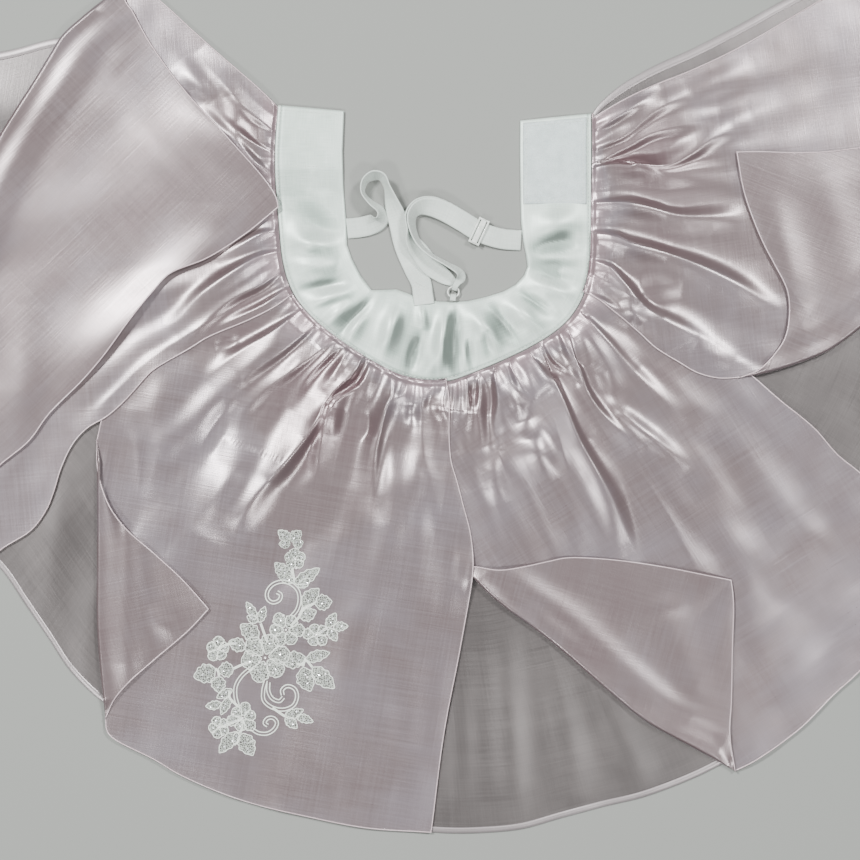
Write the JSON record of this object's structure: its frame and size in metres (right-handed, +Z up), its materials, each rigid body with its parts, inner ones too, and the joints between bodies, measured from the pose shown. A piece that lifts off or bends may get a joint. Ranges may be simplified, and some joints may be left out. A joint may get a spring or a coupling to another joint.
{
  "type": "hanbok skirt",
  "caption": "Baby girl's sheer pink organza hanbok skirt laid open flat like a fan, gathered to a white satin wrap waistband with elastic shoulder straps and a lace applique",
  "frame": {"origin": "on the surface it lies on, under the middle of its outline", "axes": "+Z up from the surface; +X to the wearer's left, across the fan from one waistband end to the other; +Y from the hem towards the waistband's open ends"},
  "size_m": [0.949, 0.7266, 0.017],
  "materials": {
    "organza_single": "sheer, softly shining",
    "organza_double": "sheer, pearly shine",
    "satin": "satin shine",
    "touch_fastening": "matt loops",
    "elastic": "ribbed, matt",
    "white_plastic": "smooth",
    "lace": "corded lace"
  },
  "bodies": {
    "root": {"underskirt": "organza_single", "panel_back_left": "organza_double", "panel_front_left": "organza_double", "panel_front_right": "organza_double", "panel_back_right": "organza_double", "waistband": "satin", "closure_patch_right": "touch_fastening", "closure_patch_left": "touch_fastening", "strap_left": "elastic", "strap_right": "elastic", "strap_tab": "elastic", "strap_slider": "white_plastic", "strap_ring": "white_plastic", "lace_applique": "lace"}
  },
  "joints": []
}
